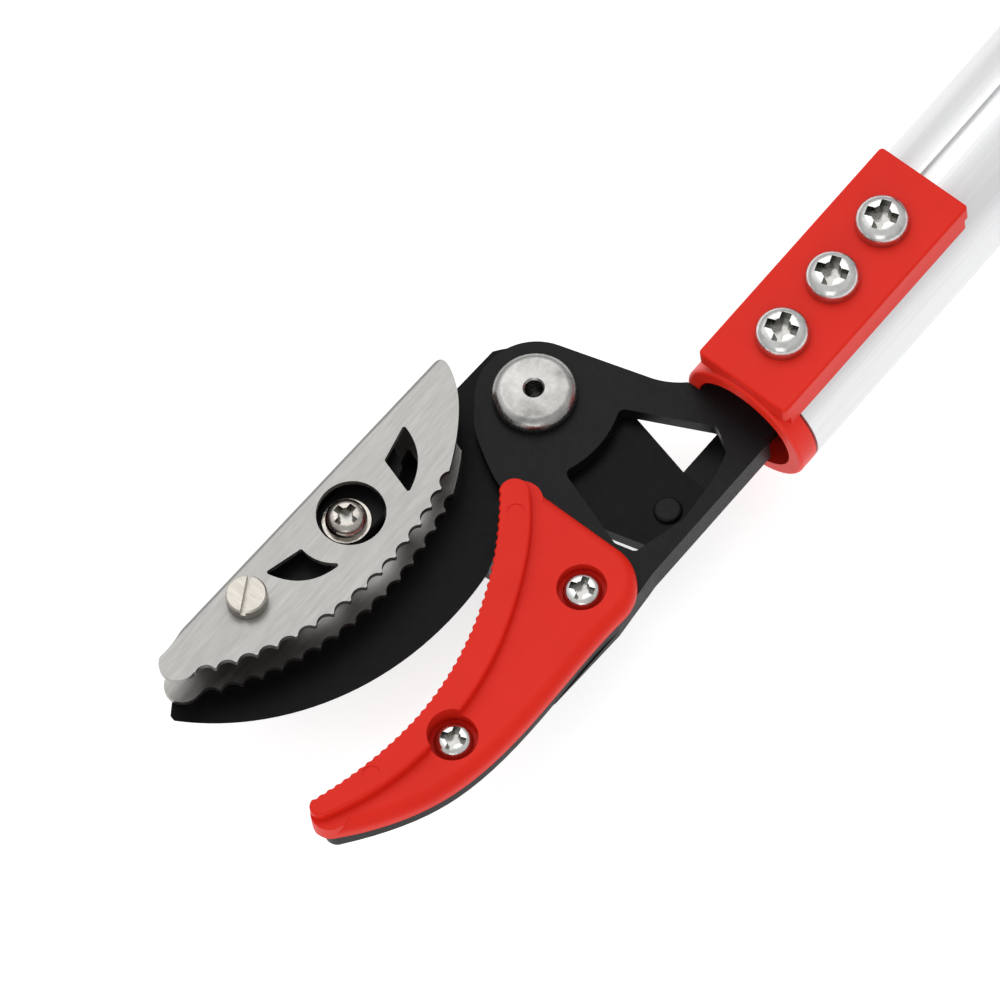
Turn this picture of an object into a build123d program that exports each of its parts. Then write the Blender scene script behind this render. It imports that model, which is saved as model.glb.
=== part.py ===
from build123d import *
import math
import os

# Cut-and-hold pruner head on a telescoping aluminium pole with a pistol-grip trigger.
# Frame: millimetres, +X from the butt to the head, +Z up, the head's plane parallel to XY.
# Origin: the centre of the butt's end face, on the pole's axis.

os.makedirs("parts", exist_ok=True)

# ---- driving dimensions -------------------------------------------------------------
# pole
inner_r = 12.5          # inner tube, outside radius
inner_wall = 1.2
inner_back = 284.0      # rear end of the inner tube with the pole closed
head_x = 1090.0         # front end of the inner tube: the head is laid out from here
groove_w = 3.5          # lengthwise groove in the crown of the inner tube
groove_d = 1.2
outer_r = 14.2          # outer tube, outside radius
outer_bore_r = 12.7
outer_front = 990.0
cap_t = 4.0             # flange of the butt cap

# head
pivot = (22.5, -31.0)   # blade pivot, from the pole's front end
plate_t = 3.0           # pressed base plate, centred on the pole's axis
plate_top = plate_t / 2
blade_t = 3.0
blade_top = -plate_top - 0.1
tail = (24.5, -0.4)     # rivet that joins the blade's tail to the pull link
tail_arc_r = 34.4       # end of the blade's tail, about the pivot
step_top = 5.0          # low step of the anvil cover
ridge_top = 7.0         # gripping ridge of the anvil cover
jaw_sheet = 1.2
jaw_rear = blade_top + 0.2      # back of the jaw's rear plate
jaw_front = jaw_rear + 9.9      # front of the jaw's front plate
jaw_pin = (83.9, -42.3)         # slotted screw that the jaw rocks on
jaw_post = (61.2, -40.0)        # post that stops the jaw, inside its round window
jaw_window = (60.8, -38.9)
clamp_places = [(-7.2, 0.0), (-20.6, 0.0), (-34.0, 0.0)]
anvil_places = [(46.6, -0.5), (81.2, 0.1)]
saddle_top = 14.7
saddle_x = (-45.4, 3.9)       # ends of the saddle, from the pole's front end

# pull rods, below the tang of the base plate
rod_y = -0.4
rod_z = -6.0
front_rod_r = 2.55
rear_rod_r = 4.0
rear_rod_bore_r = 2.65
link_len = 42.0

# handle
shell_t = 17.0          # half thickness of the handle
trigger_pin = (135.0, -21.0)
trigger_arm = 21.0      # from the trigger's pin to the rod's pin
trigger_rest = 16.75    # lean of the arm towards the head at rest, in degrees
latch_pin = (90.0, 92.0)
latch_z = 15.35
collar_x = (960.0, 1000.0)
cam_pin = (-24.0, 12.0)         # Y and Z of the clamp lever's hinge


# ---- helpers ------------------------------------------------------------------------
def save(part, name):
    part.label = name
    export_step(part, f"parts/{name}.step")


def at_head(points):
    return [(head_x + x, y) for x, y in points]


def beside(curve, u, distance):
    """A point to the left of a curve that lies flat, at a distance square to it."""
    along = curve % u
    return curve @ u + Vector(along.Y, -along.X) * distance


def pan_screws(places, seat_z, head_r, head_h, shank_r, end_z, turn=20.0, recess=1.2):
    """Pan-head screws with a cross recess, standing along Z, one solid each."""
    with BuildPart() as screws:
        with BuildSketch(Plane.XY.offset(seat_z)):
            with Locations(*places):
                Circle(head_r)
        extrude(amount=head_h)
        fillet(screws.edges().group_by(Axis.Z)[-1], head_h * 0.75)
        with BuildSketch(Plane.XY.offset(seat_z)):
            with Locations(*places):
                Circle(shank_r)
        extrude(amount=end_z - seat_z)
        with BuildSketch(Plane.XY.offset(seat_z + head_h)):
            with Locations(*[Location((x, y), turn) for x, y in places]):
                Rectangle(head_r * recess, head_r * 0.38)
                Rectangle(head_r * 0.38, head_r * recess)
                Circle(head_r * recess * 0.3)
        extrude(amount=-head_h * 0.8, taper=9, mode=Mode.SUBTRACT)
    return screws.part


# ---- pole ---------------------------------------------------------------------------
with BuildPart() as inner_tube:
    with BuildSketch(Plane.YZ.offset(inner_back)):
        Circle(inner_r)
        with Locations((0, inner_r)):
            Rectangle(groove_w, 2 * groove_d, mode=Mode.SUBTRACT)
    extrude(amount=head_x - inner_back)
    with BuildSketch(Plane.YZ.offset(inner_back)):
        Circle(inner_r - inner_wall)
        with Locations((0, inner_r - inner_wall)):
            Rectangle(groove_w + 2 * inner_wall, 2 * groove_d, mode=Mode.SUBTRACT)
    extrude(amount=head_x - inner_back, mode=Mode.SUBTRACT)
    with Locations(*[(head_x + x, y, inner_r) for x, y in clamp_places]):
        Cylinder(2.65, 8, mode=Mode.SUBTRACT)
save(inner_tube.part, "inner_tube")

with BuildPart() as outer_tube:
    with BuildSketch(Plane.YZ.offset(cap_t)):
        Circle(outer_r)
        Circle(outer_bore_r, mode=Mode.SUBTRACT)
        with Locations((0, outer_bore_r)):
            Rectangle(groove_w - 0.3, 2 * (groove_d - 0.05))
    extrude(amount=outer_front - cap_t)
    # clear way through both walls for the trigger's arm
    with Locations((trigger_pin[0], 0, 0)):
        Box(43, 2 * outer_r + 2, 8.8, mode=Mode.SUBTRACT)
save(outer_tube.part, "outer_tube")

with BuildPart() as end_cap:
    with BuildSketch(Plane.YZ):
        Circle(15)
    extrude(amount=cap_t)
    fillet(end_cap.edges().group_by(Axis.X)[0], 1.5)
    with BuildSketch(Plane.YZ):
        with PolarLocations(15.3, 24):
            Circle(0.9)
    extrude(amount=cap_t, mode=Mode.SUBTRACT)
    with BuildSketch(Plane.YZ.offset(cap_t)):
        Circle(outer_bore_r - 0.05)
        with Locations((0, outer_bore_r)):
            Rectangle(groove_w + 0.5, 2 * groove_d + 0.4, mode=Mode.SUBTRACT)
        Circle(10, mode=Mode.SUBTRACT)
    extrude(amount=16)
save(end_cap.part, "end_cap")

with BuildPart() as inner_rear_bush:
    with BuildSketch(Plane.YZ.offset(inner_back - 5)):
        Circle(outer_bore_r - 0.08)
        with Locations((0, outer_bore_r)):
            Rectangle(groove_w + 0.3, 2 * groove_d + 0.4, mode=Mode.SUBTRACT)
    extrude(amount=5)
    with BuildSketch(Plane.YZ.offset(inner_back)):
        Circle(inner_r - inner_wall - 0.05)
        with Locations((0, inner_r - inner_wall)):
            Rectangle(groove_w + 2 * inner_wall + 0.2, 2 * groove_d + 0.2, mode=Mode.SUBTRACT)
    extrude(amount=18)
    with BuildSketch(Plane.YZ.offset(inner_back - 5)):
        with Locations((rod_y, rod_z)):
            Circle(rear_rod_r + 0.3)
        with Locations((0, 4)):
            Circle(4)
    extrude(amount=23, mode=Mode.SUBTRACT)
save(inner_rear_bush.part, "inner_rear_bush")

guide_x = 215.0
guide_t = 8.0
with BuildPart() as rod_guide:
    with BuildSketch(Plane.YZ.offset(guide_x)):
        Circle(outer_bore_r - 0.02)
        with Locations((0, outer_bore_r)):
            Rectangle(groove_w + 0.3, 2 * groove_d + 0.4, mode=Mode.SUBTRACT)
        with Locations((rod_y, rod_z)):
            Circle(rear_rod_r + 0.08, mode=Mode.SUBTRACT)
        with Locations((0, 5)):
            Circle(3.5, mode=Mode.SUBTRACT)
    extrude(amount=guide_t)
save(rod_guide.part, "rod_guide")

foam_x = (380.0, 560.0)
with BuildPart() as foam_grip:
    with BuildSketch(Plane.YZ.offset(foam_x[0])):
        Circle(shell_t - 0.2)
    extrude(amount=foam_x[1] - foam_x[0])
    fillet(foam_grip.edges(), 2)
    with BuildSketch(Plane.YZ.offset(foam_x[0])):
        Circle(outer_r)
    extrude(amount=foam_x[1] - foam_x[0], mode=Mode.SUBTRACT)
save(foam_grip.part, "foam_grip")

# ---- socket that joins the head to the inner tube --------------------------------------
insert_len = 42.0
insert_r = inner_r - inner_wall - 0.15
channel_r = 10.0
ring_x = (0.5, 4.5)
with BuildPart() as head_socket:
    with BuildSketch(Plane.YZ.offset(head_x - insert_len)):
        Circle(insert_r)
        with Locations((0, inner_r - inner_wall)):
            Rectangle(groove_w + 2 * inner_wall + 0.2, 2 * groove_d + 0.2, mode=Mode.SUBTRACT)
    extrude(amount=insert_len)
    with BuildSketch(Plane.YZ.offset(head_x)):
        Circle(insert_r)
    extrude(amount=ring_x[0])
    with BuildSketch(Plane.YZ.offset(head_x + ring_x[0])):
        Circle(inner_r)
    extrude(amount=ring_x[1] - ring_x[0])
    fillet(head_socket.edges().group_by(Axis.X)[-1], 0.7)
    # room for the tang and the rods below the solid upper half
    with BuildSketch(Plane.YZ.offset(head_x - insert_len)):
        Circle(channel_r)
        with Locations((0, plate_top + channel_r)):
            Rectangle(3 * channel_r, 2 * channel_r, mode=Mode.SUBTRACT)
    extrude(amount=insert_len, mode=Mode.SUBTRACT)
    with BuildSketch(Plane.YZ.offset(head_x)):
        Circle(9.8)
    extrude(amount=10, mode=Mode.SUBTRACT)
    with Locations(*[(head_x + x, y, inner_r) for x, y in clamp_places]):
        Cylinder(2.65, 24, mode=Mode.SUBTRACT)
save(head_socket.part, "head_socket")

with BuildPart() as clamp_saddle:
    with Locations((head_x + (saddle_x[0] + saddle_x[1]) / 2, 0, 8.6)):
        Box(saddle_x[1] - saddle_x[0], 19, saddle_top - 8.6,
            align=(Align.CENTER, Align.CENTER, Align.MIN))
    fillet(clamp_saddle.edges().filter_by(Axis.Z), 0.8)
    fillet(clamp_saddle.edges().group_by(Axis.Z)[-1], 0.5)
    # below its top slab the saddle is a little shorter at both ends
    with Locations(*[(head_x + x, 0, 11.2) for x in saddle_x]):
        Box(2.6, 30, 5, align=(Align.CENTER, Align.CENTER, Align.MAX), mode=Mode.SUBTRACT)
    with BuildSketch(Plane.YZ.offset(head_x - 60)):
        Circle(inner_r)
    extrude(amount=80, mode=Mode.SUBTRACT)
    with Locations(*[(head_x + x, y, saddle_top) for x, y in clamp_places]):
        Cylinder(2.65, 20, mode=Mode.SUBTRACT)
save(clamp_saddle.part, "clamp_saddle")

clamp_screws = pan_screws(at_head(clamp_places), saddle_top, 4.75, 3.3, 2.5, -plate_top)
save(clamp_screws, "clamp_screws")

# ---- base plate -----------------------------------------------------------------------
px, py = head_x + pivot[0], pivot[1]
# gripping edge of the anvil, from the hub out to the tip
anvil_edge = [(41.7, -22.5), (52.4, -15.0), (65.2, -9.4), (79.0, -6.7), (92.3, -7.4), (105.0, -10.6)]


def below_edge(points, depth):
    """The gripping edge moved away from the mouth by a depth, across the edge."""
    moved = []
    for i, (x, y) in enumerate(points):
        x0, y0 = points[max(i - 1, 0)]
        x1, y1 = points[min(i + 1, len(points) - 1)]
        length = math.hypot(x1 - x0, y1 - y0)
        moved.append((x - depth * (y1 - y0) / length, y + depth * (x1 - x0) / length))
    return moved


hook_edge = below_edge(anvil_edge, 2.5)
lip_in = 2.2            # thickness of the stiffening lip along the lower edge
lower_y = 6.1
hook_y = 7.4
with BuildPart() as base_plate:
    with BuildSketch(Plane.XY.offset(-plate_top)) as plate_outline:
        with BuildLine():
            Polyline(*at_head([(36, lower_y), (5.2, lower_y), (5.2, 5.0), (-insert_len, 5.0),
                               (-insert_len, -9.4), (4.7, -9.4), (4.7, -12.0)]))
            ThreePointArc(*at_head([(4.7, -12.0), (6.5, -14.4), (7.8, -17.2)]))
            Line(*at_head([(7.8, -17.2), (12.6, -33.8)]))
            ThreePointArc(*at_head([(12.6, -33.8), (20.6, -41.2), (30.0, -38.1)]))
            Spline(*at_head([(30.0, -38.1), (34.0, -34.6), (36.3, -31.0), (38.9, -25.9),
                             hook_edge[0]]))
            Spline(*at_head(hook_edge))
            ThreePointArc(*at_head([hook_edge[-1], (106.7, -6.6), (105.6, -4.3)]))
            Spline(*at_head([(105.6, -4.3), (100.8, -0.8), (89.6, 4.9), (78.8, 7.05), (66.0, 7.4),
                             (47.0, hook_y)]))
            Spline(*at_head([(47.0, hook_y), (41.5, 6.7), (36, lower_y)]))
        make_face()
    extrude(amount=plate_t)
    # window that the blade's tail is seen and swings in
    with BuildSketch(Plane.XY.offset(-plate_top)) as window:
        with BuildLine():
            ThreePointArc(*at_head([(15.6, -18.1), (22.9, -16.4), (30.6, -18.0)]))
            Polyline(*at_head([(30.6, -18.0), (35.7, -2.6), (34.8, 1.2), (25.0, 3.8),
                               (15.6, 2.9), (10.8, 1.5), (8.2, -2.8), (15.6, -18.1)]))
        make_face()
        fillet(window.vertices(), 1.2)
    extrude(amount=plate_t, mode=Mode.SUBTRACT)
    # stiffening lip along the lower edge, fading out under the hook
    with BuildSketch(Plane.XY.offset(-plate_top)):
        with BuildLine():
            Polyline(*at_head([(64, hook_y - lip_in), (47, hook_y - lip_in), (40, lower_y - lip_in),
                               (5.2, lower_y - lip_in), (5.2, lower_y), (36, lower_y)]))
            Spline(*at_head([(36, lower_y), (41.5, 6.7), (47.0, hook_y)]))
            Polyline(*at_head([(47.0, hook_y), (64, hook_y), (64, hook_y - lip_in)]))
        make_face()
    extrude(amount=-2.5)
    with BuildSketch(Plane.XZ):
        with BuildLine():
            Polyline(*at_head([(38, -4.0), (66, -4.5), (66, -plate_top - 0.001), (38, -4.0)]))
        make_face()
    extrude(amount=20, both=True, mode=Mode.SUBTRACT)
    with Locations((px, py, 0)):
        Cylinder(4.0, 12, mode=Mode.SUBTRACT)
    with Locations(*[(x, y, 0) for x, y in at_head(clamp_places)]):
        Cylinder(2.5, 12, mode=Mode.SUBTRACT)
    with Locations(*[(x, y, 0) for x, y in at_head(anvil_places)]):
        Cylinder(1.5, 12, mode=Mode.SUBTRACT)
save(base_plate.part, "base_plate")

# ---- anvil cover ------------------------------------------------------------------------
rib_pitch = 1.6
foot_r = 1.2
ridge_line = [(38.6, -18.3), (43.0, -14.4), (52.4, -8.7), (67.6, -3.0), (81.4, -1.3), (91.4, -2.0),
              (103.4, -5.9)]
with BuildLine() as grip_line:
    Spline(*at_head(anvil_edge))
grip_curve = grip_line.edges()[0]
rib_count = int(grip_curve.length / rib_pitch)
rib_places = [beside(grip_curve, (i + 0.5) / rib_count, 0.42) for i in range(rib_count)]

with BuildPart() as anvil_cover:
    with BuildSketch(Plane.XY.offset(plate_top)):
        with BuildLine():
            Spline(*at_head(anvil_edge))
            ThreePointArc(*at_head([anvil_edge[-1], (107.6, -8.0), (106.3, -4.7)]))
            Spline(*at_head([(106.3, -4.7), (101.1, -0.6), (89.8, 5.2), (79.0, 7.4), (66.0, 7.8),
                             (45.5, 7.8)]))
            ThreePointArc(*at_head([(45.5, 7.8), (39.6, 5.6), (36.9, 0.0)]))
            Polyline(*at_head([(36.9, 0.0), (36.9, -17.6)]))
            ThreePointArc(*at_head([(36.9, -17.6), (38.0, -21.8), anvil_edge[0]]))
        make_face()
    extrude(amount=step_top - plate_top)
    outer_edges = anvil_cover.edges().group_by(Axis.Z)[-1].filter_by(
        lambda e: e.center().Y > -3.5 and e.center().X > head_x + 37.5)
    fillet(outer_edges, 2.2)
    # gripping ridge, down to the back of the base plate and up past both jaw plates
    with BuildSketch(Plane.XY.offset(-plate_top)):
        with BuildLine():
            Spline(*at_head(anvil_edge))
            ThreePointArc(*at_head([anvil_edge[-1], (106.8, -9.0), (106.0, -7.2)]))
            Spline(*at_head([(106.0, -7.2)] + ridge_line[::-1]))
            ThreePointArc(*at_head([ridge_line[0], (38.3, -21.8), anvil_edge[0]]))
        make_face()
    extrude(amount=ridge_top + plate_top)
    fillet(anvil_cover.edges().group_by(Axis.Z)[-1], 0.5)
    # soft foot where the ridge meets the step
    with BuildLine(Plane.XY.offset(step_top)) as foot_path:
        Spline(*at_head(ridge_line))
    foot_start = foot_path.edges()[0]
    with BuildSketch(Plane(origin=foot_start @ 0, x_dir=(0, 0, 1), z_dir=foot_start % 0)):
        with BuildLine():
            Polyline((foot_r, 0), (foot_r, 0.3), (-0.2, 0.3), (-0.2, -foot_r), (0, -foot_r))
            ThreePointArc((0, -foot_r), (0.293 * foot_r, -0.293 * foot_r), (foot_r, 0))
        make_face()
    sweep(path=foot_path.wires()[0])
    # the cover wraps the edges of the hook
    extrude(plate_outline.sketch, amount=plate_t, mode=Mode.SUBTRACT)
    with BuildSketch(Plane.XY.offset(-plate_top)):
        with Locations(*rib_places):
            Circle(0.78)
    extrude(amount=ridge_top + plate_top, mode=Mode.SUBTRACT)
    with Locations(*[(x, y, 2.5) for x, y in at_head(anvil_places)]):
        Cylinder(4.3, 10, align=(Align.CENTER, Align.CENTER, Align.MIN), mode=Mode.SUBTRACT)
    with Locations(*[(x, y, 0) for x, y in at_head(anvil_places)]):
        Cylinder(1.6, 10, mode=Mode.SUBTRACT)
    with Locations(*[(x, y, ridge_top) for x, y in at_head([(43.2, -17.5), (95.4, -5.6)])]):
        Cylinder(1.6, 0.3, mode=Mode.SUBTRACT)
save(anvil_cover.part, "anvil_cover")

anvil_screws = pan_screws(at_head(anvil_places), 2.5, 3.4, 2.2, 1.5, -plate_top, recess=1.3)
save(anvil_screws, "anvil_screws")

# ---- blade --------------------------------------------------------------------------------
cutting_edge = [(105.5, -41.5), (99.1, -32.7), (91.4, -26.0), (79.1, -19.7), (65.2, -16.8),
                (51.9, -17.2)]
with BuildPart() as blade:
    with BuildSketch(Plane.XY.offset(blade_top - blade_t)):
        with BuildLine():
            Spline(*at_head(cutting_edge))
            Spline(*at_head([(51.9, -17.2), (44.0, -18.0), (37.5, -14.2), (33.9, -7.4)]))
            Polyline(*at_head([(33.9, -7.4), (32.3, -1.2), (31.4, 2.2)]))
            ThreePointArc(*at_head([(31.4, 2.2), (24.5, 3.34), (17.6, 3.05)]))
            Polyline(*at_head([(17.6, 3.05), (17.3, -2.8), (14.1, -16.4), (12.3, -29.5)]))
            ThreePointArc(*at_head([(12.3, -29.5), (13.7, -36.5), (19.4, -43.3)]))
            Polyline(*at_head([(19.4, -43.3), (99.6, -46.0), (102.6, -44.4), (105.2, -42.6),
                               (105.5, -41.5)]))
        make_face()
    extrude(amount=blade_t)
    # the cutting edge is ground from behind and is sharp at the front face
    with BuildLine(Plane.XY.offset(blade_top)) as edge_path:
        Spline(*at_head(cutting_edge))
    edge_curve = edge_path.edges()[0]
    with BuildLine(Plane.XY.offset(blade_top)) as grind_path:
        Line(edge_curve @ 0 - (edge_curve % 0) * 4, edge_curve @ 0)
        Spline(*at_head(cutting_edge))
    with BuildSketch(Plane(origin=edge_curve @ 0 - (edge_curve % 0) * 4, x_dir=(0, 0, 1),
                           z_dir=edge_curve % 0)):
        with BuildLine():
            Polyline((-0.1, 0.6), (-0.15, 0), (-blade_t - 0.1, -6.5), (-blade_t - 0.1, 0.6),
                     (-0.1, 0.6))
        make_face()
    sweep(path=grind_path.wires()[0], mode=Mode.SUBTRACT)
    fillet(blade.edges().filter_by(Axis.Z).filter_by(
        lambda e: e.center().Y > 2 or (e.center().X > head_x + 99 and e.center().Y < -44)), 0.9)
    with Locations((px, py, 0)):
        Cylinder(4.05, 20, mode=Mode.SUBTRACT)
    with Locations((head_x + tail[0], tail[1], 0)):
        Cylinder(2.0, 20, mode=Mode.SUBTRACT)
    with Locations(*[(x, y, 0) for x, y in at_head([jaw_pin, jaw_post])]):
        Cylinder(1.5, 20, mode=Mode.SUBTRACT)
save(blade.part, "blade")

# ---- pivot --------------------------------------------------------------------------------
blade_back = blade_top - blade_t
cap_r = 7.35
cap_rim = 2.0
with BuildPart() as pivot_bolt:
    with BuildSketch(Plane.XZ.offset(-py)):
        with BuildLine():
            Polyline((px, -10.6), (px + 3.95, -10.6), (px + 3.95, plate_top),
                     (px + cap_r - 0.4, plate_top), (px + cap_r, plate_top + 0.9))
            CenterArc((px + cap_r - cap_rim, plate_top + 0.9), cap_rim, 0, 90)
            ThreePointArc((px + cap_r - cap_rim, plate_top + 0.9 + cap_rim),
                          (px + 3.6, plate_top + 1.05 + cap_rim),
                          (px + 1.9, plate_top + 1.05 + cap_rim))
            Polyline((px + 1.9, plate_top + 1.05 + cap_rim), (px + 1.6, plate_top + 0.7 + cap_rim),
                     (px + 1.6, -6.0), (px, -6.6), (px, -10.6))
        make_face()
    revolve(axis=Axis((px, py, 0), (0, 0, 1)))
save(pivot_bolt.part, "pivot_bolt")

with BuildPart() as pivot_washer:
    with BuildSketch(Plane.XY.offset(blade_back - 1.3)):
        with Locations((px, py)):
            Circle(8.0)
            Circle(3.95, mode=Mode.SUBTRACT)
    extrude(amount=1.2)
save(pivot_washer.part, "pivot_washer")

with BuildPart() as pivot_nut:
    with BuildSketch(Plane.XY.offset(blade_back - 1.3)):
        with Locations((px, py)):
            RegularPolygon(6.5, 6, major_radius=False)
            Circle(3.95, mode=Mode.SUBTRACT)
    extrude(amount=-4.2)
    chamfer(pivot_nut.edges().group_by(Axis.Z)[0].filter_by(GeomType.LINE), 0.5)
save(pivot_nut.part, "pivot_nut")

# ---- link, rods and their pins --------------------------------------------------------------
link_top = blade_back - 0.15
link_t = 2.5
link_back = link_top - link_t
link_w = 7.4
with BuildPart() as tail_rivet:
    with BuildSketch(Plane.XY.offset(blade_top)):
        with Locations((head_x + tail[0], tail[1])):
            Circle(2.5)
    extrude(amount=0.8)
    fillet(tail_rivet.edges().group_by(Axis.Z)[-1], 0.7)
    with BuildSketch(Plane.XY.offset(blade_top)):
        with Locations((head_x + tail[0], tail[1])):
            Circle(2.0)
    extrude(amount=link_back - 1.4 - blade_top)
    with BuildSketch(Plane.XY.offset(link_back - 0.15)):
        with Locations((head_x + tail[0], tail[1])):
            Circle(3.2)
    extrude(amount=-1.25)
    fillet(tail_rivet.edges().group_by(Axis.Z)[0], 0.8)
save(tail_rivet.part, "tail_rivet")

with BuildPart() as pull_link:
    with BuildSketch(Plane.XY.offset(link_back)):
        with Locations((head_x + tail[0] - link_len / 2, tail[1])):
            SlotCenterToCenter(link_len, link_w)
        with Locations((head_x + tail[0], tail[1])):
            Circle(2.6, mode=Mode.SUBTRACT)
        with Locations((head_x + tail[0] - link_len, tail[1])):
            Circle(1.56, mode=Mode.SUBTRACT)
    extrude(amount=link_t)
save(pull_link.part, "pull_link")

fork_x = head_x + tail[0] - link_len
with BuildPart() as front_rod:
    with Locations((fork_x - 3.5, rod_y, (-3.2 - 8.7) / 2)):
        Box(15, link_w, 5.5)
    fillet(front_rod.edges().filter_by(Axis.X), 0.8)
    with BuildSketch(Plane.YZ.offset(fork_x - 10.5)):
        with Locations((rod_y, rod_z)):
            Circle(front_rod_r)
    extrude(amount=240 - fork_x + 10.5)
    with Locations((fork_x + 1, rod_y, (link_top + link_back) / 2)):
        Box(14, 10, link_t + 0.3, mode=Mode.SUBTRACT)
    with Locations((fork_x, tail[1], rod_z)):
        Cylinder(1.5, 10, mode=Mode.SUBTRACT)
save(front_rod.part, "front_rod")

with BuildPart() as link_pin:
    with BuildSketch(Plane.XY.offset(-8.7)):
        with Locations((fork_x, tail[1])):
            Circle(1.5)
    extrude(amount=5.5)
save(link_pin.part, "link_pin")

rear_rod_x = (153.0, 930.0)
tongue_x = (131.0, 156.0)
rod_pin = (trigger_pin[0] + trigger_arm * math.sin(math.radians(trigger_rest)),
           trigger_pin[1] + trigger_arm * math.cos(math.radians(trigger_rest)))
rod_pin_low = trigger_pin[1] + trigger_arm      # highest Y that the rod's pin reaches
spring_x = (guide_x + guide_t, 268.0)
with BuildPart() as rear_rod:
    with BuildSketch(Plane.YZ.offset(rear_rod_x[0])):
        with Locations((rod_y, rod_z)):
            Circle(rear_rod_r)
    extrude(amount=rear_rod_x[1] - rear_rod_x[0])
    with BuildSketch(Plane.YZ.offset(160)):
        with Locations((rod_y, rod_z)):
            Circle(rear_rod_bore_r)
    extrude(amount=rear_rod_x[1] - 160, mode=Mode.SUBTRACT)
    with Locations(((tongue_x[0] + tongue_x[1]) / 2, rod_y, rod_z)):
        Box(tongue_x[1] - tongue_x[0], 10, 3.6)
    # upright slot that the trigger's pin works in
    with BuildSketch(Plane.XY.offset(-12)):
        with Locations((rod_pin[0], (rod_pin[1] + rod_pin_low) / 2)):
            SlotOverall(rod_pin_low - rod_pin[1] + 5.0, 4.3, rotation=90)
    extrude(amount=12, mode=Mode.SUBTRACT)
    # collar that the return spring pushes on
    with BuildSketch(Plane.YZ.offset(spring_x[1])):
        with Locations((rod_y, rod_z)):
            Circle(6.2)
            Circle(rear_rod_r - 0.5, mode=Mode.SUBTRACT)
    extrude(amount=4)
save(rear_rod.part, "rear_rod")

with BuildPart() as rod_clutch:
    with BuildSketch(Plane.YZ.offset(rear_rod_x[1] - 14)):
        with Locations((rod_y, rod_z)):
            Circle(5.0)
            Circle(rear_rod_r, mode=Mode.SUBTRACT)
    extrude(amount=14)
    with BuildSketch(Plane.YZ.offset(rear_rod_x[1])):
        with Locations((rod_y, rod_z)):
            Circle(5.0)
            Circle(rear_rod_bore_r, mode=Mode.SUBTRACT)
    extrude(amount=5)
save(rod_clutch.part, "rod_clutch")

spring_turns = 9
spring_wire = 0.6
spring_len = spring_x[1] - spring_x[0] - 2 * spring_wire
with BuildPart() as return_spring:
    with BuildLine() as coil:
        Helix(pitch=spring_len / spring_turns, height=spring_len, radius=5.0,
              center=(spring_x[0] + spring_wire, rod_y, rod_z), direction=(1, 0, 0))
    with BuildSketch(Plane(origin=coil.line @ 0, z_dir=coil.line % 0)):
        Circle(spring_wire)
    sweep()
save(return_spring.part, "return_spring")

# ---- jaw and its carrier ------------------------------------------------------------------
tooth_arc = [(44.5, -30.9), (62.7, -27.7), (80.6, -30.2), (99.6, -40.8)]
tooth_pitch = 3.62
gullet_r = 1.9
tooth_depth = 0.95
with BuildLine() as tooth_line:
    Spline(*at_head(tooth_arc))
tooth_curve = tooth_line.edges()[0]
tooth_count = int(tooth_curve.length / tooth_pitch)
gullets = [beside(tooth_curve, (i + 0.5) / tooth_count, tooth_depth - gullet_r)
           for i in range(tooth_count)]
jaw_outline = [(30.7, -46.3), (29.2, -45.2), (30.0, -42.4), (34.8, -36.9), (41.4, -32.5),
               (44.5, -30.9)]


eye_corners = [(42.65, -42.5), (52.0, -33.6), (49.8, -40.8), (78.2, -43.3), (71.0, -41.3),
               (68.8, -34.1)]


def jaw_sketch():
    """Face of one jaw plate, its windows and its row of round teeth."""
    with BuildSketch(Plane.XY.offset(jaw_rear)) as face:
        with BuildLine():
            Spline(*at_head(jaw_outline))
            Spline(*at_head(tooth_arc))
            ThreePointArc(*at_head([(99.6, -40.8), (103.2, -44.0), (101.0, -47.2)]))
            Spline(*at_head([(101.0, -47.2), (97.6, -47.2), (94.2, -47.9)]))
            Line(*at_head([(94.2, -47.9), (30.7, -46.3)]))
        make_face()
        with Locations(*gullets):
            Circle(gullet_r, mode=Mode.SUBTRACT)
        with Locations((head_x + jaw_window[0], jaw_window[1])):
            Circle(6.0, mode=Mode.SUBTRACT)
        # two eye-shaped windows, one each side of the round one
        with BuildLine():
            Spline(*at_head([(42.65, -42.5), (45.0, -37.6), (52.0, -33.6)]))
            Polyline(*at_head([(52.0, -33.6), (49.8, -40.8), (42.65, -42.5)]))
        make_face(mode=Mode.SUBTRACT)
        with BuildLine():
            Line(*at_head([(78.2, -43.3), (71.0, -41.3)]))
            Spline(*at_head([(71.0, -41.3), (71.1, -38.3), (68.8, -34.1)]))
            Spline(*at_head([(68.8, -34.1), (74.9, -36.7), (78.2, -43.3)]))
        make_face(mode=Mode.SUBTRACT)
        fillet([v for v in face.vertices()
                if any(math.dist((v.X, v.Y), corner) < 0.05 for corner in at_head(eye_corners))], 0.4)
    return face.sketch


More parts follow.
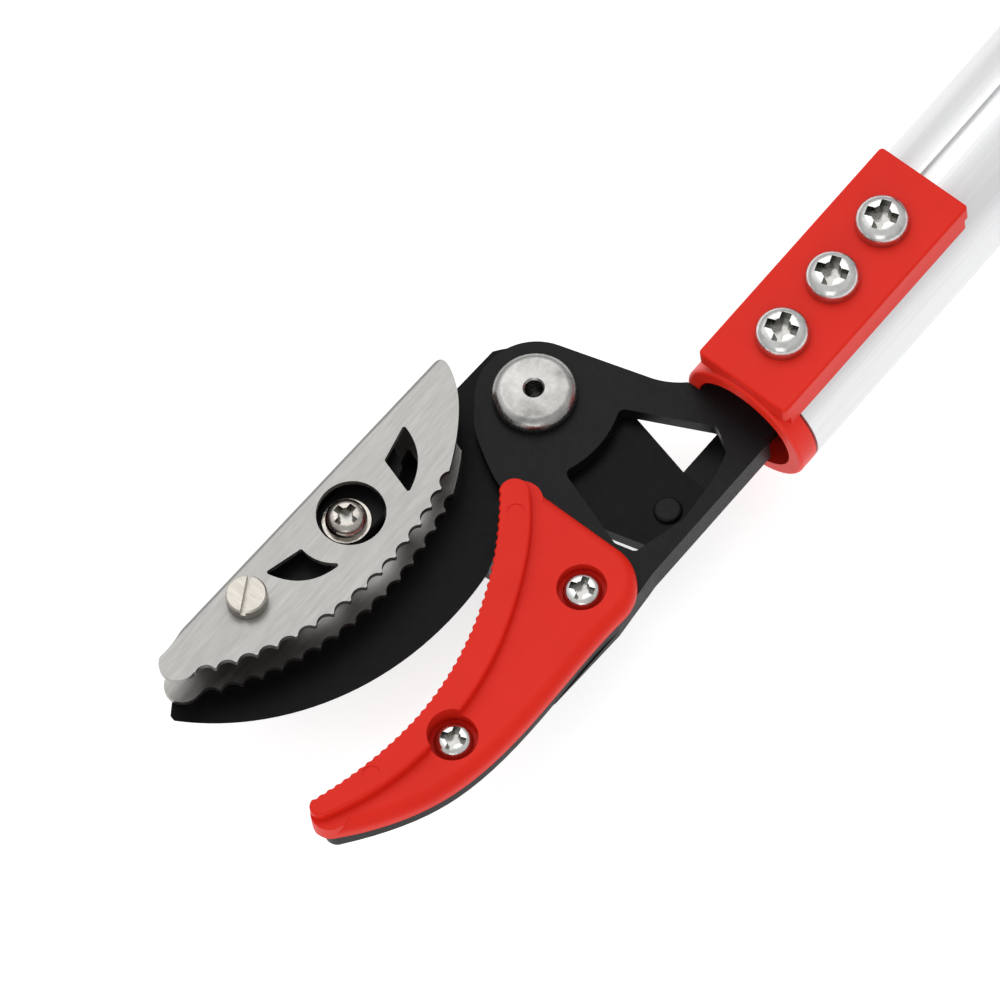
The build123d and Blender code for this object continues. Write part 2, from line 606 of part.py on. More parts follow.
boss_r = 2.75
with BuildPart() as grip_jaw:
    add(extrude(jaw_sketch(), amount=jaw_front - jaw_rear, mode=Mode.PRIVATE))
    # the two plates are one folded sheet: hollow between them, closed along the back edge
    with BuildSketch(Plane.XY.offset(jaw_rear + jaw_sheet)):
        with BuildLine():
            Polyline(*at_head([(20, -46.03 + jaw_sheet), (93.9, -47.89 + jaw_sheet),
                               (99.0, -50.0), (112, -50.0), (112, -20), (20, -20),
                               (20, -46.03 + jaw_sheet)]))
        make_face()
    extrude(amount=jaw_front - jaw_rear - 2 * jaw_sheet, mode=Mode.SUBTRACT)
    fillet(grip_jaw.edges().filter_by(
        lambda e: e.length > 60 and e.center().Y < -46.5), 1.1)
    # the rear plate's inner end is cut back round the hub of the base plate
    with BuildSketch(Plane.XY.offset(jaw_rear - 0.5)):
        with Locations((px + 1.2, py + 0.6)):
            Circle(14.6)
    extrude(amount=jaw_sheet + 1.0, mode=Mode.SUBTRACT)
    with Locations((head_x + jaw_pin[0], jaw_pin[1], jaw_rear)):
        Cylinder(boss_r + 0.06, 5, mode=Mode.SUBTRACT)
    with Locations((head_x + jaw_pin[0], jaw_pin[1], jaw_front)):
        Cylinder(2.06, 5, mode=Mode.SUBTRACT)
save(grip_jaw.part, "grip_jaw")

carrier_z = (2.2, 4.2)
with BuildPart() as jaw_carrier:
    with BuildSketch(Plane.XY.offset(carrier_z[0])) as carrier_outline:
        with BuildLine():
            Polyline(*at_head([(44.5, -44.7), (90.0, -45.9), (89.0, -40.6), (76.0, -38.6),
                               (66.0, -35.6), (56.0, -36.2), (47.5, -39.2), (44.5, -44.7)]))
        make_face()
        fillet(carrier_outline.vertices(), 1.2)
    extrude(amount=carrier_z[1] - carrier_z[0])
    with BuildSketch(Plane.XY.offset(blade_top)):
        with Locations(*at_head([jaw_pin, jaw_post])):
            Circle(boss_r)
    extrude(amount=carrier_z[0] - blade_top)
    with BuildSketch(Plane.XY.offset(blade_top)):
        with Locations(*at_head([jaw_pin, jaw_post])):
            Circle(1.5)
    extrude(amount=20, mode=Mode.SUBTRACT)
save(jaw_carrier.part, "jaw_carrier")

with BuildPart() as post_washer:
    with BuildSketch(Plane.XY.offset(carrier_z[1])):
        with Locations((head_x + jaw_post[0], jaw_post[1])):
            Circle(4.2)
            Circle(1.5, mode=Mode.SUBTRACT)
    extrude(amount=0.6)
save(post_washer.part, "post_washer")

post_screw = pan_screws(at_head([jaw_post]), carrier_z[1] + 0.6, 3.6, 2.4, 1.5,
                        blade_back, turn=0)
save(post_screw, "post_screw")

with BuildPart() as jaw_screw:
    with BuildSketch(Plane.XY.offset(jaw_front + 0.1)):
        with Locations((head_x + jaw_pin[0], jaw_pin[1])):
            Circle(3.55)
    extrude(amount=2.4)
    chamfer(jaw_screw.edges().group_by(Axis.Z)[-1], 0.3)
    with Locations(Location((head_x + jaw_pin[0], jaw_pin[1], jaw_front + 2.5), (0, 0, 30))):
        Box(9, 0.9, 2.4, mode=Mode.SUBTRACT)
    with BuildSketch(Plane.XY.offset(carrier_z[1])):
        with Locations((head_x + jaw_pin[0], jaw_pin[1])):
            Circle(2.0)
    extrude(amount=jaw_front + 0.1 - carrier_z[1])
    with BuildSketch(Plane.XY.offset(blade_back)):
        with Locations((head_x + jaw_pin[0], jaw_pin[1])):
            Circle(1.5)
    extrude(amount=carrier_z[1] - blade_back)
save(jaw_screw.part, "jaw_screw")

jaw_wire = 0.3
with BuildPart() as jaw_spring:
    with BuildLine() as wound:
        Helix(pitch=0.8, height=1.6, radius=2.4,
              center=(head_x + jaw_pin[0], jaw_pin[1], carrier_z[1] + jaw_wire + 0.1))
    with BuildSketch(Plane(origin=wound.line @ 0, z_dir=wound.line % 0)):
        Circle(jaw_wire)
    sweep()
save(jaw_spring.part, "jaw_spring")

# ---- handle -----------------------------------------------------------------------------
handle_outline = [(14, -16.5), (100, -17), (116, -31), (154, -31), (170, -18), (188, -16.5),
                  (188, 16.5), (166, 18.5), (108, 19), (102, 34), (104, 60), (95, 96), (88, 112),
                  (54, 116), (49, 104), (60, 64), (57, 36), (44, 21), (14, 16.5)]
grip_hollow = [(99, 24), (97, 60), (86, 84), (68, 90), (62, 88), (66, 62), (63, 34), (56, 24)]
shell_screws = [(119.5, -22.5), (150.5, -22.5), (68, 27), (81, 60), (62, 100)]
grip_grooves = [(79, 38), (80, 43.5), (80.5, 49), (80, 71), (78.5, 76.5)]
shell_end = 84.0        # below here the grip is thinner, under the latch loop
thin_t = 13.8


def handle_shell(name, side):
    """One half of the handle, split on the head's plane; side is +1 in front and -1 behind."""
    with BuildPart() as shell:
        with BuildSketch(Plane.XY) as outline:
            with BuildLine():
                Polyline(*handle_outline, handle_outline[0])
            make_face()
            fillet(outline.vertices(), 5)
        extrude(amount=side * shell_t)
        outer_face = Axis.Z if side > 0 else -Axis.Z
        fillet(shell.edges().group_by(outer_face)[-1], 6)
        with BuildSketch(Plane.XY.offset(side * thin_t)):
            with Locations((80, shell_end)):
                Rectangle(120, 60, align=(Align.CENTER, Align.MIN))
        extrude(amount=side * 10, mode=Mode.SUBTRACT)
        with BuildSketch(Plane.YZ):
            Circle(outer_r)
        extrude(amount=300, mode=Mode.SUBTRACT)
        # room for the trigger's hub, arm and swing
        with BuildSketch(Plane.XY):
            with Locations(trigger_pin):
                Circle(8.0)
            with Locations((trigger_pin[0], -12)):
                Rectangle(24, 20)
            with Locations((trigger_pin[0], 0)):
                Rectangle(44, 30)
            with Locations((trigger_pin[0], 20)):
                Rectangle(46, 30)
        extrude(amount=side * 4.6, mode=Mode.SUBTRACT)
        with BuildSketch(Plane.XY) as hollow:
            with BuildLine():
                Polyline(*grip_hollow, grip_hollow[0])
            make_face()
            fillet(hollow.vertices(), 3)
            with Locations(*shell_screws):
                Circle(4, mode=Mode.SUBTRACT)
        extrude(amount=side * 12.5, mode=Mode.SUBTRACT)
        with Locations((trigger_pin[0], trigger_pin[1], 0)):
            Cylinder(2.5, 26, mode=Mode.SUBTRACT)
        with Locations((60, 108, 0)):
            Cylinder(2.5, 60, mode=Mode.SUBTRACT)
        with Locations((latch_pin[0], latch_pin[1], side * thin_t)):
            Cylinder(1.33, 8, mode=Mode.SUBTRACT)
        with Locations(*[(x, y, 0) for x, y in shell_screws]):
            Cylinder(1.75, 28, mode=Mode.SUBTRACT)
        if side > 0:
            with Locations(*[(x, y, thin_t - 3.8) for x, y in shell_screws]):
                Cylinder(3.6, 20, align=(Align.CENTER, Align.CENTER, Align.MIN),
                         mode=Mode.SUBTRACT)
        # shallow finger grooves across the flat of the grip
        with BuildSketch(Plane.XY.offset(side * (shell_t - 0.7))):
            with Locations(*[Location((x, y), -8) for x, y in grip_grooves]):
                SlotOverall(23, 2.4)
        extrude(amount=side * 2, mode=Mode.SUBTRACT)
    save(shell.part, name)
    return shell.part


handle_front = handle_shell("handle_front", 1)
handle_rear = handle_shell("handle_rear", -1)

handle_screws = pan_screws(shell_screws, thin_t - 3.8, 3.4, 2.4, 1.75, -12.0)
save(handle_screws, "handle_screws")

with BuildPart() as trigger_pivot:
    with BuildSketch(Plane.XY.offset(-12.9)):
        with Locations(trigger_pin):
            Circle(2.5)
    extrude(amount=25.8)
save(trigger_pivot.part, "trigger_pivot")

# trigger, drawn along its own arm: x down the arm, y towards the grip
lean = math.radians(trigger_rest)
arm_dir = (math.sin(lean), math.cos(lean), 0)
arm_t = 8.0
finger_t = 17.0


def arm_plane(z):
    return Plane(origin=(*trigger_pin, z), x_dir=arm_dir, z_dir=(0, 0, 1))


with BuildPart() as trigger:
    with BuildSketch(arm_plane(-arm_t / 2)) as arm:
        Circle(6.5)
        with Locations((30, 0)):
            Rectangle(60, 13)
    extrude(amount=arm_t)
    with BuildSketch(arm_plane(-finger_t / 2)) as finger:
        with BuildLine():
            Polyline((47, 7), (47, -9))
            Spline((47, -9), (56, -12.5), (70, -11.0), (82, -12.0), (93, -16))
            Polyline((93, -16), (96, -15), (96.5, -9), (104, -8), (104, -4))
            Spline((104, -4), (88, -1), (66, 5), (47, 7))
        make_face()
    extrude(amount=finger_t)
    fillet(trigger.edges().filter_by(lambda e: abs(abs(e.center().Z) - finger_t / 2) < 0.01), 1.2)
    with Locations((*trigger_pin, 0)):
        Cylinder(2.56, 20, mode=Mode.SUBTRACT)
    with Locations((*rod_pin, 0)):
        Cylinder(2.0, 20, mode=Mode.SUBTRACT)
save(trigger.part, "trigger")

with BuildPart() as trigger_rod_pin:
    with BuildSketch(Plane.XY.offset(-8.6)):
        with Locations(rod_pin):
            Circle(2.0)
    extrude(amount=8.6 + arm_t / 2)
save(trigger_rod_pin.part, "trigger_rod_pin")

loop_len = 30.0
loop_r = 1.25
with BuildPart() as latch_loop:
    with BuildLine() as wire:
        lx, ly = latch_pin
        FilletPolyline((lx, ly, 10.2), (lx, ly, latch_z), (lx, ly + loop_len, latch_z),
                       (lx, ly + loop_len, -latch_z), (lx, ly, -latch_z), (lx, ly, -10.2), radius=2.0)
    with BuildSketch(Plane(origin=(lx, ly, 10.2), z_dir=(0, 0, 1))):
        Circle(loop_r)
    sweep()
save(latch_loop.part, "latch_loop")

# ---- clamp collar of the telescope -------------------------------------------------------
collar_mid = (collar_x[0] + collar_x[1]) / 2
ear_x = 28.0
slit = 1.2
with BuildPart() as lock_collar:
    with BuildSketch(Plane.YZ.offset(collar_x[0])):
        Circle(shell_t)
    extrude(amount=collar_x[1] - collar_x[0])
    fillet(lock_collar.edges(), 1.5)
    # grip flutes round the collar, clear of the ears
    with BuildSketch(Plane.YZ.offset(collar_x[0] + 3)):
        with Locations(*[((shell_t + 0.4) * math.cos(math.radians(a)),
                          (shell_t + 0.4) * math.sin(math.radians(a)))
                         for a in range(-120, 121, 12)]):
            Circle(1.1)
    extrude(amount=collar_x[1] - collar_x[0] - 6, mode=Mode.SUBTRACT)
    with Locations((collar_mid, -21.5, 0)):
        Box(ear_x, 17, 12)
    fillet(lock_collar.edges().filter_by(Axis.X).filter_by(lambda e: e.center().Y < -25), 2)
    with BuildSketch(Plane.YZ.offset(collar_x[0])):
        Circle(outer_r)
    extrude(amount=outer_front - collar_x[0], mode=Mode.SUBTRACT)
    with BuildSketch(Plane.YZ.offset(collar_x[0])):
        Circle(inner_r + 0.08)
    extrude(amount=60, mode=Mode.SUBTRACT)
    with Locations((collar_mid, -22, 0)):
        Box(60, 18, slit, mode=Mode.SUBTRACT)
    with Locations((collar_mid, cam_pin[0], 0)):
        Cylinder(2.65, 40, mode=Mode.SUBTRACT)
save(lock_collar.part, "lock_collar")

eye_w = 8.0
with BuildPart() as collar_bolt:
    with BuildSketch(Plane.YZ.offset(collar_mid - eye_w / 2)):
        with Locations(cam_pin):
            Circle(4.5)
    extrude(amount=eye_w)
    with BuildSketch(Plane.XY.offset(-11.0)):
        with Locations((collar_mid, cam_pin[0])):
            Circle(2.5)
    extrude(amount=20)
    with BuildSketch(Plane.YZ.offset(collar_mid - eye_w)):
        with Locations(cam_pin):
            Circle(2.5)
    extrude(amount=2 * eye_w, mode=Mode.SUBTRACT)
save(collar_bolt.part, "collar_bolt")

with BuildPart() as collar_nut:
    with BuildSketch(Plane.XY.offset(-6.0)):
        with Locations((collar_mid, cam_pin[0])):
            RegularPolygon(4.0, 6, major_radius=False)
            Circle(2.5, mode=Mode.SUBTRACT)
    extrude(amount=-4.0)
save(collar_nut.part, "collar_nut")

lever_w = 24.0
with BuildPart() as lever_pin:
    with BuildSketch(Plane.YZ.offset(collar_mid - lever_w / 2 + 0.5)):
        with Locations(cam_pin):
            Circle(2.5)
    extrude(amount=lever_w - 1)
save(lever_pin.part, "lever_pin")

with BuildPart() as lock_lever:
    with BuildSketch(Plane.YZ.offset(collar_mid - lever_w / 2)):
        with Locations(cam_pin):
            Circle(5.9)
        with BuildLine():
            Polyline((-28.5, 15.5), (-19.5, 8.5), (-17.2, 12.5), (-12.0, 17.6), (10.0, 17.6),
                     (13.0, 19.0), (11.0, 21.2), (-15.0, 21.4), (-28.5, 15.5))
        make_face()
    extrude(amount=lever_w)
    fillet(lock_lever.edges().filter_by(Axis.X), 0.9)
    # fork round the eye of the bolt
    with Locations((collar_mid, cam_pin[0] - 2, cam_pin[1])):
        Box(eye_w + 0.6, 16.5, 30, mode=Mode.SUBTRACT)
    with BuildSketch(Plane.YZ.offset(collar_mid - lever_w)):
        with Locations(cam_pin):
            Circle(2.56)
    extrude(amount=2 * lever_w, mode=Mode.SUBTRACT)
save(lock_lever.part, "lock_lever")
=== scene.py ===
import math

import bmesh
import bpy
from mathutils import Matrix, Vector


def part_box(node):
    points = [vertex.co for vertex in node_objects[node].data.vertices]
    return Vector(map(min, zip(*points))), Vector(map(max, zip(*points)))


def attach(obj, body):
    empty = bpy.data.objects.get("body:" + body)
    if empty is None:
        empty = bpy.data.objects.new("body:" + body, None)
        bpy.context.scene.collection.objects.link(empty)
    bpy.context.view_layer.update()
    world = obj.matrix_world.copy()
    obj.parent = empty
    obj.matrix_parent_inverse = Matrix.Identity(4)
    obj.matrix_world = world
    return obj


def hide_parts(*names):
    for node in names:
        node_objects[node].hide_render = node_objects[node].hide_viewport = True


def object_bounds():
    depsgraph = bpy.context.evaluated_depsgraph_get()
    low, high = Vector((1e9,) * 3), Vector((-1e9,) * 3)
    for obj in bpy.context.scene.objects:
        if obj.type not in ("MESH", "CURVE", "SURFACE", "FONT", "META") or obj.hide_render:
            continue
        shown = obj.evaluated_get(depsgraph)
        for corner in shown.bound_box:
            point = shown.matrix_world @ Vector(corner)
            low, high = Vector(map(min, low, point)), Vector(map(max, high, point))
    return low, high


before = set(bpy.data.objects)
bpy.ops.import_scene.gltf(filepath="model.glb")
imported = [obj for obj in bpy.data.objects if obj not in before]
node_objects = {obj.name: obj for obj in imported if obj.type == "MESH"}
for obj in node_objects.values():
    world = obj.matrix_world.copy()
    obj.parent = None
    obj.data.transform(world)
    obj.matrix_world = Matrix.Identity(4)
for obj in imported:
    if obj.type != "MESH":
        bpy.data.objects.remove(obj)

# Lengths are in metres. +X runs along the pole from its butt to the cutting head.
cad_box = [list(map(float, corner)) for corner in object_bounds()]


# ---- materials --------------------------------------------------------------------------
NOISE_SPAN = (0.3, 0.7)       # where the values of a noise texture mostly lie
NOISE_ROUGHNESS = 0.6
TONE_DETAIL, WEAR_DETAIL, RELIEF_DETAIL, SPECK_DETAIL = 5.0, 4.0, 3.0, 8.0
WEAR_SCALE = 2.3              # the wear's noise is this much finer than the tone's
SPECK_SCALE = 0.35            # the specks' noise is coarser
SPECK_SPAN = (0.60, 0.72)     # only the peaks of the noise become specks
SPECK_TONE = 0.45             # of the darker tone
RELIEF_HEIGHT = 0.0001
LEAST_ROUGHNESS = 0.04


def surface(name, colour, dark, rough, metal=0.0, grain=(1, 1, 1), scale=300.0, rough_span=0.08,
            bump=0.0, bump_scale=1500.0, spots=0.0, **extra):
    """A procedural surface: two mottled tones, uneven roughness and a fine bump.

    grain stretches the noise along an axis, spots is the strength of sparse dark specks, and
    extra holds further inputs of the shader by name.
    """
    mat = bpy.data.materials.new(name)
    mat.use_nodes = True
    nodes, links = mat.node_tree.nodes, mat.node_tree.links
    shader = nodes["Principled BSDF"]
    shader.inputs["Metallic"].default_value = metal
    for socket, value in extra.items():
        shader.inputs[socket.replace("_", " ")].default_value = value
    place = nodes.new("ShaderNodeTexCoord")
    stretch = nodes.new("ShaderNodeMapping")
    stretch.inputs["Scale"].default_value = grain
    links.new(place.outputs["Object"], stretch.inputs["Vector"])

    def noise(size, detail, source):
        tex = nodes.new("ShaderNodeTexNoise")
        tex.inputs["Scale"].default_value = size
        tex.inputs["Detail"].default_value = detail
        tex.inputs["Roughness"].default_value = NOISE_ROUGHNESS
        links.new(source, tex.inputs["Vector"])
        return tex.outputs["Fac"]

    def remap(source, span, low=0.0, high=1.0):
        mapped = nodes.new("ShaderNodeMapRange")
        mapped.inputs["From Min"].default_value = span[0]
        mapped.inputs["From Max"].default_value = span[1]
        mapped.inputs["To Min"].default_value = low
        mapped.inputs["To Max"].default_value = high
        links.new(source, mapped.inputs["Value"])
        return mapped.outputs["Result"]

    tone = noise(scale, TONE_DETAIL, stretch.outputs["Vector"])
    ramp = nodes.new("ShaderNodeValToRGB")
    for element, position, shade in zip(ramp.color_ramp.elements, NOISE_SPAN, (dark, colour)):
        element.position = position
        element.color = (*shade, 1)
    links.new(tone, ramp.inputs["Fac"])
    base = ramp.outputs["Color"]
    if spots:
        speck = noise(scale * SPECK_SCALE, SPECK_DETAIL, place.outputs["Object"])
        mix = nodes.new("ShaderNodeMix")
        mix.data_type = "RGBA"
        links.new(remap(speck, SPECK_SPAN, high=spots), mix.inputs["Factor"])
        links.new(base, mix.inputs["A"])
        mix.inputs["B"].default_value = (*[c * SPECK_TONE for c in dark], 1)
        base = mix.outputs["Result"]
    links.new(base, shader.inputs["Base Color"])
    wear = noise(scale * WEAR_SCALE, WEAR_DETAIL, stretch.outputs["Vector"])
    rough_now = remap(wear, NOISE_SPAN, max(rough - rough_span, LEAST_ROUGHNESS),
                      min(rough + rough_span, 1.0))
    links.new(rough_now, shader.inputs["Roughness"])
    if bump:
        relief = nodes.new("ShaderNodeBump")
        relief.inputs["Strength"].default_value = bump
        relief.inputs["Distance"].default_value = RELIEF_HEIGHT
        links.new(noise(bump_scale, RELIEF_DETAIL, stretch.outputs["Vector"]),
                  relief.inputs["Height"])
        links.new(relief.outputs["Normal"], shader.inputs["Normal"])
    return mat


RED = surface("red_moulding", (0.72, 0.021, 0.010), (0.66, 0.018, 0.008), 0.42, scale=60,
              rough_span=0.04, bump=0.1, bump_scale=2600, Specular_IOR_Level=0.14)
# painted light: a brighter copy of the same red moulding, lifting the socket's ring where it sits
# in shade under the saddle
RED_SOCKET_LIT = surface("red_socket_painted_light", (0.78, 0.024, 0.011), (0.71, 0.020, 0.009), 0.38, scale=70,
                   rough_span=0.04, bump=0.1, bump_scale=2600, Specular_IOR_Level=0.2)
BLACK_COAT = surface("black_coated_steel", (0.0066, 0.0066, 0.0071), (0.0050, 0.0050, 0.0054),
                     0.42, scale=420, rough_span=0.05, bump=0.2, bump_scale=3800,
                     Specular_IOR_Level=0.14)
BLADE_COAT = surface("black_coated_blade", (0.0024, 0.0024, 0.0025), (0.0016, 0.0016, 0.0016),
                     0.36, scale=300, rough_span=0.04, bump=0.15, bump_scale=3200,
                     Specular_IOR_Level=0.09)
JAW = surface("brushed_jaw_steel", (0.325, 0.319, 0.306), (0.292, 0.286, 0.275), 0.36, metal=1.0,
              grain=(0.09, 1, 1), scale=900, rough_span=0.06, bump=0.13, bump_scale=5200)
ZINC = surface("bright_zinc", (0.66, 0.66, 0.65), (0.52, 0.52, 0.51), 0.20, metal=1.0, scale=420,
               rough_span=0.09, bump=0.25, bump_scale=2400, spots=0.45)
DARK_NICKEL = surface("dark_nickel", (0.46, 0.43, 0.395), (0.30, 0.28, 0.255), 0.16, metal=1.0,
                      scale=600, rough_span=0.08, bump=0.3, bump_scale=2400)
NICKEL = surface("warm_nickel", (0.46, 0.435, 0.39), (0.38, 0.36, 0.32), 0.30, metal=1.0,
                 grain=(1, 0.12, 1), scale=1100, rough_span=0.08, bump=0.3, bump_scale=4200)
CAP = surface("rubbed_cap", (0.42, 0.416, 0.40), (0.29, 0.286, 0.275), 0.30, metal=1.0, scale=330,
              rough_span=0.10, bump=0.35, bump_scale=1900, spots=0.55)
ALLOY = surface("bright_alloy", (0.80, 0.805, 0.81), (0.74, 0.745, 0.75), 0.40, metal=0.6,
                grain=(0.02, 1, 1), scale=1500, rough_span=0.07, bump=0.16, bump_scale=5200)
ALLOY_GREY = surface("grey_anodised", (0.33, 0.34, 0.355), (0.27, 0.28, 0.29), 0.38, metal=0.9,
                     grain=(0.02, 1, 1), scale=1500, rough_span=0.06, bump=0.16, bump_scale=5200)
GRIP = surface("grained_black_plastic", (0.030, 0.030, 0.032), (0.020, 0.020, 0.022), 0.55,
               scale=140, rough_span=0.08, bump=0.6, bump_scale=1500)
PLASTIC = surface("smooth_black_plastic", (0.026, 0.026, 0.028), (0.017, 0.017, 0.018), 0.42,
                  scale=140, rough_span=0.06, bump=0.25, bump_scale=2400)
FOAM = surface("closed_cell_foam", (0.036, 0.036, 0.038), (0.018, 0.018, 0.019), 0.85, scale=1400,
               rough_span=0.08, bump=0.9, bump_scale=1800)

LOOKS = {
    RED: ["clamp_saddle", "anvil_cover", "trigger", "lock_lever"],
    RED_SOCKET_LIT: ["head_socket"],
    BLACK_COAT: ["base_plate", "jaw_carrier", "tail_rivet", "pull_link"],
    BLADE_COAT: ["blade"],
    JAW: ["grip_jaw"],
    ZINC: ["clamp_screws", "anvil_screws", "pivot_washer", "pivot_nut", "link_pin",
           "handle_screws", "trigger_pivot", "trigger_rod_pin", "latch_loop", "collar_bolt",
           "collar_nut", "lever_pin", "return_spring", "jaw_spring"],
    NICKEL: ["jaw_screw"],
    DARK_NICKEL: ["post_screw", "post_washer"],
    CAP: ["pivot_bolt"],
    ALLOY: ["inner_tube", "front_rod", "rear_rod"],
    ALLOY_GREY: ["outer_tube"],
    GRIP: ["handle_front", "handle_rear"],
    PLASTIC: ["end_cap", "inner_rear_bush", "rod_guide", "rod_clutch", "lock_collar"],
    FOAM: ["foam_grip"],
}


def wear_look(node, look):
    """Put the material look on every face of the node."""
    for slot in node_objects[node].material_slots:
        slot.material = look


for look, names in LOOKS.items():
    for name in names:
        wear_look(name, look)


# ---- painted shade in the cross recesses ----------------------------------------------------
# painted shade: the screws' cross recesses are given this darker grey in place of the shade that
# falls in them
RECESS_SHADE_TONE = (0.36, 0.355, 0.335)
RECESS_DEPTH = 0.8            # the recess's floor below the top, as a part of the head's height
WALL_DEPTH = 0.55             # how far down the walls get painted shade, in the same measure
FLOOR_REACH = 0.00006
LEVEL, LEVEL_REACH = 1.0, 0.02          # the Z part of the floor's normal
WALL_SLOPE, SLOPE_REACH = 0.156, 0.07   # and of the leaning walls' normals


def paint_recess_shade(base_look, node, head_h):
    """Paint shade into the recesses of a node's screws, which are told apart by height and slope.
    """
    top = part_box(node)[1][2]
    mat = base_look.copy()
    mat.name = f"{base_look.name}_{node}"
    nodes, links = mat.node_tree.nodes, mat.node_tree.links
    shader = nodes["Principled BSDF"]
    spot = nodes.new("ShaderNodeNewGeometry")
    height = nodes.new("ShaderNodeSeparateXYZ")
    slope = nodes.new("ShaderNodeSeparateXYZ")
    place = nodes.new("ShaderNodeTexCoord")
    links.new(place.outputs["Object"], height.inputs["Vector"])
    links.new(spot.outputs["True Normal"], slope.inputs["Vector"])

    def near(socket, value, reach):
        test = nodes.new("ShaderNodeMath")
        test.operation = "COMPARE"
        test.inputs[1].default_value = value
        test.inputs[2].default_value = reach
        links.new(socket, test.inputs[0])
        return test.outputs["Value"]

    def join(a, b, operation):
        both = nodes.new("ShaderNodeMath")
        both.operation = operation
        both.use_clamp = True
        links.new(a, both.inputs[0])
        links.new(b, both.inputs[1])
        return both.outputs["Value"]

    half_wall = WALL_DEPTH / 2 * head_h
    floor_here = join(near(height.outputs["Z"], top - RECESS_DEPTH * head_h, FLOOR_REACH),
                      near(slope.outputs["Z"], LEVEL, LEVEL_REACH), "MULTIPLY")
    wall_here = join(near(height.outputs["Z"], top - half_wall, half_wall),
                     near(slope.outputs["Z"], WALL_SLOPE, SLOPE_REACH), "MULTIPLY")
    # painted shade: the recess floor and the upper walls are mixed towards the darker grey
    mix = nodes.new("ShaderNodeMix")
    mix.data_type = "RGBA"
    links.new(join(floor_here, wall_here, "ADD"), mix.inputs["Factor"])
    links.new(shader.inputs["Base Color"].links[0].from_socket, mix.inputs["A"])
    mix.inputs["B"].default_value = (*RECESS_SHADE_TONE, 1)
    links.new(mix.outputs["Result"], shader.inputs["Base Color"])
    wear_look(node, mat)


for base_look, node, head_h in [
    (ZINC, "clamp_screws", 0.0033),
    (ZINC, "anvil_screws", 0.0022),
    (DARK_NICKEL, "post_screw", 0.0024),
    (ZINC, "handle_screws", 0.0024),
]:
    paint_recess_shade(base_look, node, head_h)


# ---- the blade's bevel ----------------------------------------------------------------------
BRIGHT_STEEL = (0.55, 0.54, 0.52)
STREAK_TONE = 0.7             # the darker streaks, as a part of the bright steel
STREAK_SCALE = 2400
GROUND_ROUGHNESS = 0.3
BEVEL_NORMAL_Z = (-0.97, -0.80)   # the bevel is on the back: its normals' Z part lies here


def show_ground_bevel(mat):
    """Grind the blade's bevel through the coating, down to bright steel."""
    nodes, links = mat.node_tree.nodes, mat.node_tree.links
    facing = nodes.new("ShaderNodeNewGeometry")
    split = nodes.new("ShaderNodeSeparateXYZ")
    links.new(facing.outputs["Normal"], split.inputs["Vector"])
    low_z, high_z = BEVEL_NORMAL_Z
    mask = nodes.new("ShaderNodeMath")
    mask.operation = "COMPARE"
    mask.inputs[1].default_value = (low_z + high_z) / 2
    mask.inputs[2].default_value = (high_z - low_z) / 2
    links.new(split.outputs["Z"], mask.inputs[0])
    bright = nodes.new("ShaderNodeBsdfPrincipled")
    bright.inputs["Metallic"].default_value = 1.0
    bright.inputs["Roughness"].default_value = GROUND_ROUGHNESS
    streaks = nodes.new("ShaderNodeTexNoise")
    streaks.inputs["Scale"].default_value = STREAK_SCALE
    place = nodes.new("ShaderNodeTexCoord")
    links.new(place.outputs["Object"], streaks.inputs["Vector"])
    tone = nodes.new("ShaderNodeValToRGB")
    tone.color_ramp.elements[0].color = (*[c * STREAK_TONE for c in BRIGHT_STEEL], 1)
    tone.color_ramp.elements[1].color = (*BRIGHT_STEEL, 1)
    links.new(streaks.outputs["Fac"], tone.inputs["Fac"])
    links.new(tone.outputs["Color"], bright.inputs["Base Color"])
    mix = nodes.new("ShaderNodeMixShader")
    links.new(mask.outputs["Value"], mix.inputs["Fac"])
    links.new(nodes["Principled BSDF"].outputs["BSDF"], mix.inputs[1])
    links.new(bright.outputs["BSDF"], mix.inputs[2])
    links.new(mix.outputs["Shader"], nodes["Material Output"].inputs["Surface"])


show_ground_bevel(BLADE_COAT)


# ---- ribbed foam sleeve ---------------------------------------------------------------------
FOAM_BORE_R = 0.0142
FOAM_SKIN = 0.0001            # the sleeve stays this far inside its plain CAD solid
FOAM_END_R = 0.0022           # rounding of the two ends
RIB_PITCH = 0.006
RIB_DEPTH = 0.0009
END_STEPS = 6
RIB_STEPS = 8
SIDES = 72


